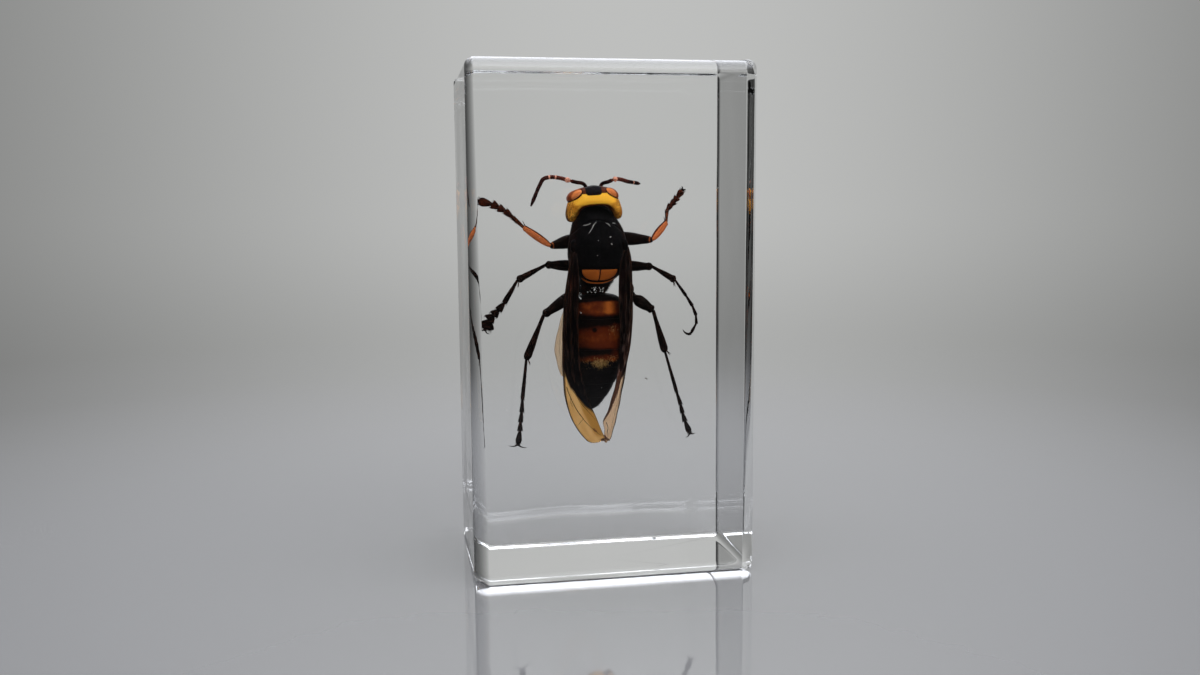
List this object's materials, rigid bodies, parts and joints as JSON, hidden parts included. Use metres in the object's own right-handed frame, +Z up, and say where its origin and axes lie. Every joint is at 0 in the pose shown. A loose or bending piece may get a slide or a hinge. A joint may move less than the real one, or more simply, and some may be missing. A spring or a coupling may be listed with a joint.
{
  "type": "asian giant hornet in resin block",
  "caption": "Upright clear resin block with a dried giant hornet cast inside, wings folded and legs spread, shown from its back.",
  "frame": {"origin": "centre of the block's base", "axes": "+Z up along the block's height, +X to the right of the face that shows the insect's back, +Y from that face into the block"},
  "size_m": [0.041, 0.0306, 0.0744],
  "materials": {
    "clear_resin": "polished clear casting resin, water-clear and see-through",
    "amber_cuticle": "glossy amber-yellow cuticle with fine pits and brown rims",
    "dark_cuticle": "glossy brown-black cuticle with fine pits",
    "banded_cuticle": "glossy cuticle in red-brown and orange bands, black at the tip",
    "orange_leg_cuticle": "orange-brown cuticle darkening to brown-black at both ends",
    "wing_membrane": "smoky amber see-through membrane with brown veins"
  },
  "bodies": {
    "root": {"resin_front": "clear_resin", "resin_back": "clear_resin", "head": "amber_cuticle", "left_antenna": "dark_cuticle", "right_antenna": "dark_cuticle", "thorax": "dark_cuticle", "abdomen": "banded_cuticle", "left_forewing": "wing_membrane", "right_forewing": "wing_membrane", "left_hindwing": "wing_membrane", "right_hindwing": "wing_membrane", "left_fore_leg": "orange_leg_cuticle", "right_fore_leg": "orange_leg_cuticle", "left_mid_leg": "dark_cuticle", "right_mid_leg": "dark_cuticle", "left_hind_leg": "dark_cuticle", "right_hind_leg": "dark_cuticle"}
  },
  "joints": []
}
